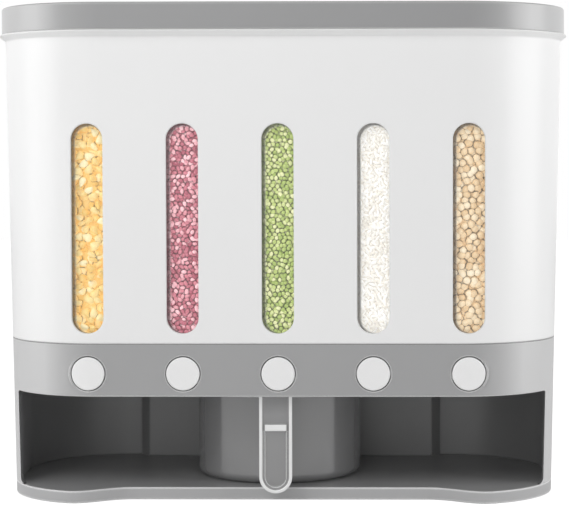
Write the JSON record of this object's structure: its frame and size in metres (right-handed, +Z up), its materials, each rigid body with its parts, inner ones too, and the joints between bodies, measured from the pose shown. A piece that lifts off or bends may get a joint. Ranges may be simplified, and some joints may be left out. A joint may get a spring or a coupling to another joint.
{
  "type": "multi-compartment dry food container",
  "caption": "Wall container for cereal and grain: upright cells behind windows, press-button slide gates, hinged lid, open tray and measuring cup.",
  "frame": {"origin": "middle of the outer box, on the plane that the base stands on", "axes": "+X along the front to the right as seen from the front, +Y from the front to the wall, +Z up"},
  "size_m": [0.4036, 0.176, 0.3413],
  "materials": {
    "white_plastic": "satin",
    "grey_plastic": "satin",
    "bin_plastic": "satin",
    "gate_plastic": "satin",
    "clear_plastic": "clear",
    "smoke_plastic": "translucent smoke",
    "seal_rubber": "matte",
    "steel": "brushed"
  },
  "bodies": {
    "housing": {"body_shell": "white_plastic", "base_housing": "grey_plastic", "tray_floor": "grey_plastic", "slide_deck": "bin_plastic", "hinge_pins": "steel", "wall_bracket": "steel", "wall_pads": "seal_rubber", "housing_screws": "steel", "cell_bin_1": "bin_plastic", "cell_bin_2": "bin_plastic", "cell_bin_3": "bin_plastic", "cell_bin_4": "bin_plastic", "cell_bin_5": "bin_plastic", "window_1": "clear_plastic", "window_2": "clear_plastic", "window_3": "clear_plastic", "window_4": "clear_plastic", "window_5": "clear_plastic", "spring_1": "steel", "spring_2": "steel", "spring_3": "steel", "spring_4": "steel", "spring_5": "steel"},
    "lid_cover": {"lid": "grey_plastic", "lid_seal": "seal_rubber"},
    "cup": {"measuring_cup": "smoke_plastic"},
    "press_1": {"button_1": "white_plastic", "gate_1": "gate_plastic"},
    "press_2": {"button_2": "white_plastic", "gate_2": "gate_plastic"},
    "press_3": {"button_3": "white_plastic", "gate_3": "gate_plastic"},
    "press_4": {"button_4": "white_plastic", "gate_4": "gate_plastic"},
    "press_5": {"button_5": "white_plastic", "gate_5": "gate_plastic"}
  },
  "joints": [
    {"name": "lid_hinge", "type": "hinge", "parent": "housing", "child": "lid_cover", "pos_m": [0, 0.0802, 0.3355], "axis": [-1, 0, 0], "range_deg": [0, 90]},
    {"name": "cup_takeout", "type": "slide", "parent": "housing", "child": "cup", "axis": [0, -1, 0], "range_m": [0, 0.17]},
    {"name": "press_slide_1", "type": "slide", "parent": "housing", "child": "press_1", "axis": [0, 1, 0], "range_m": [0, 0.015], "stiffness_N_per_m": 200, "springref_m": -0.01, "deforming": ["spring_1"]},
    {"name": "press_slide_2", "type": "slide", "parent": "housing", "child": "press_2", "axis": [0, 1, 0], "range_m": [0, 0.015], "stiffness_N_per_m": 200, "springref_m": -0.01, "deforming": ["spring_2"]},
    {"name": "press_slide_3", "type": "slide", "parent": "housing", "child": "press_3", "axis": [0, 1, 0], "range_m": [0, 0.015], "stiffness_N_per_m": 200, "springref_m": -0.01, "deforming": ["spring_3"]},
    {"name": "press_slide_4", "type": "slide", "parent": "housing", "child": "press_4", "axis": [0, 1, 0], "range_m": [0, 0.015], "stiffness_N_per_m": 200, "springref_m": -0.01, "deforming": ["spring_4"]},
    {"name": "press_slide_5", "type": "slide", "parent": "housing", "child": "press_5", "axis": [0, 1, 0], "range_m": [0, 0.015], "stiffness_N_per_m": 200, "springref_m": -0.01, "deforming": ["spring_5"]}
  ]
}
